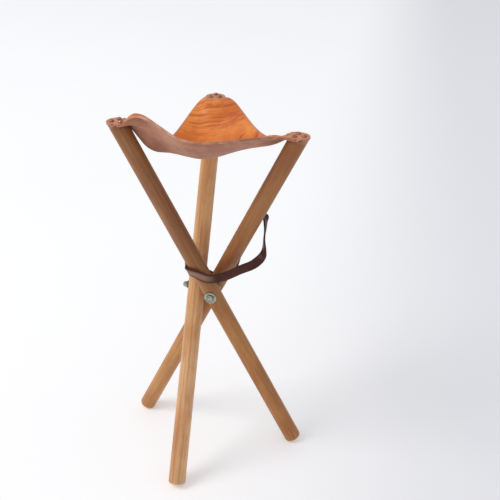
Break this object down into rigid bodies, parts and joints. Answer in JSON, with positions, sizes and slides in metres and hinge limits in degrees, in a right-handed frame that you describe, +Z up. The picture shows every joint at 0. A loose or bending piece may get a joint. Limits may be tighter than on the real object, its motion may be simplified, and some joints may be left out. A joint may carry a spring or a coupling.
{
  "type": "folding stool",
  "caption": "Folding three-legged field stool: round wooden legs crossed at a two-way bolt pivot, a sagging triangular leather seat and a leather strap loop.",
  "frame": {"origin": "on the floor, under the middle of the stool's bounding box", "axes": "+Z up, +X towards leg_b's top, +Y towards leg_c's top at the back, front edge of the seat towards -Y"},
  "size_m": [0.3277, 0.3389, 0.65],
  "materials": {
    "wood": "oiled, honey brown, grain along each leg",
    "seat_leather": "thick vegetable-tanned leather, tan",
    "strap_leather": "dark reddish brown, smooth",
    "zinc": "zinc plated",
    "screw_metal": "browned, domed heads"
  },
  "bodies": {
    "leg_c": {"leg_c": "wood", "eye_washer": "zinc", "eye_nut": "zinc", "screw_c1": "screw_metal", "screw_c2": "screw_metal", "screw_c3": "screw_metal"},
    "pivot": {"eye_bolt": "zinc", "through_bolt": "zinc", "through_head_washer": "zinc", "through_nut_washer": "zinc", "through_nut": "zinc", "seat": "seat_leather", "strap": "strap_leather"},
    "leg_a": {"leg_a": "wood", "screw_a1": "screw_metal", "screw_a2": "screw_metal", "screw_a3": "screw_metal"},
    "leg_b": {"leg_b": "wood", "screw_b1": "screw_metal", "screw_b2": "screw_metal", "screw_b3": "screw_metal"}
  },
  "joints": [
    {"name": "fold_leg_c", "type": "hinge", "parent": "leg_c", "child": "pivot", "pos_m": [0.0005, 0.0034, 0.322], "axis": [-1, 0, 0], "range_deg": [0, 30.8], "deforming": ["seat", "strap"]},
    {"name": "fold_leg_a", "type": "hinge", "parent": "pivot", "child": "leg_a", "pos_m": [0.0005, 0.0034, 0.322], "axis": [0, 0.9977, 0.068], "range_deg": [0, 25.5]},
    {"name": "fold_leg_b", "type": "hinge", "parent": "pivot", "child": "leg_b", "pos_m": [0.0005, 0.0034, 0.322], "axis": [0, -0.9977, -0.068], "range_deg": [0, 25.5]}
  ],
  "couplings": [
    {"joint": "fold_leg_a", "follows": "fold_leg_c", "ratio": 0.82792},
    {"joint": "fold_leg_b", "follows": "fold_leg_c", "ratio": 0.82792}
  ]
}
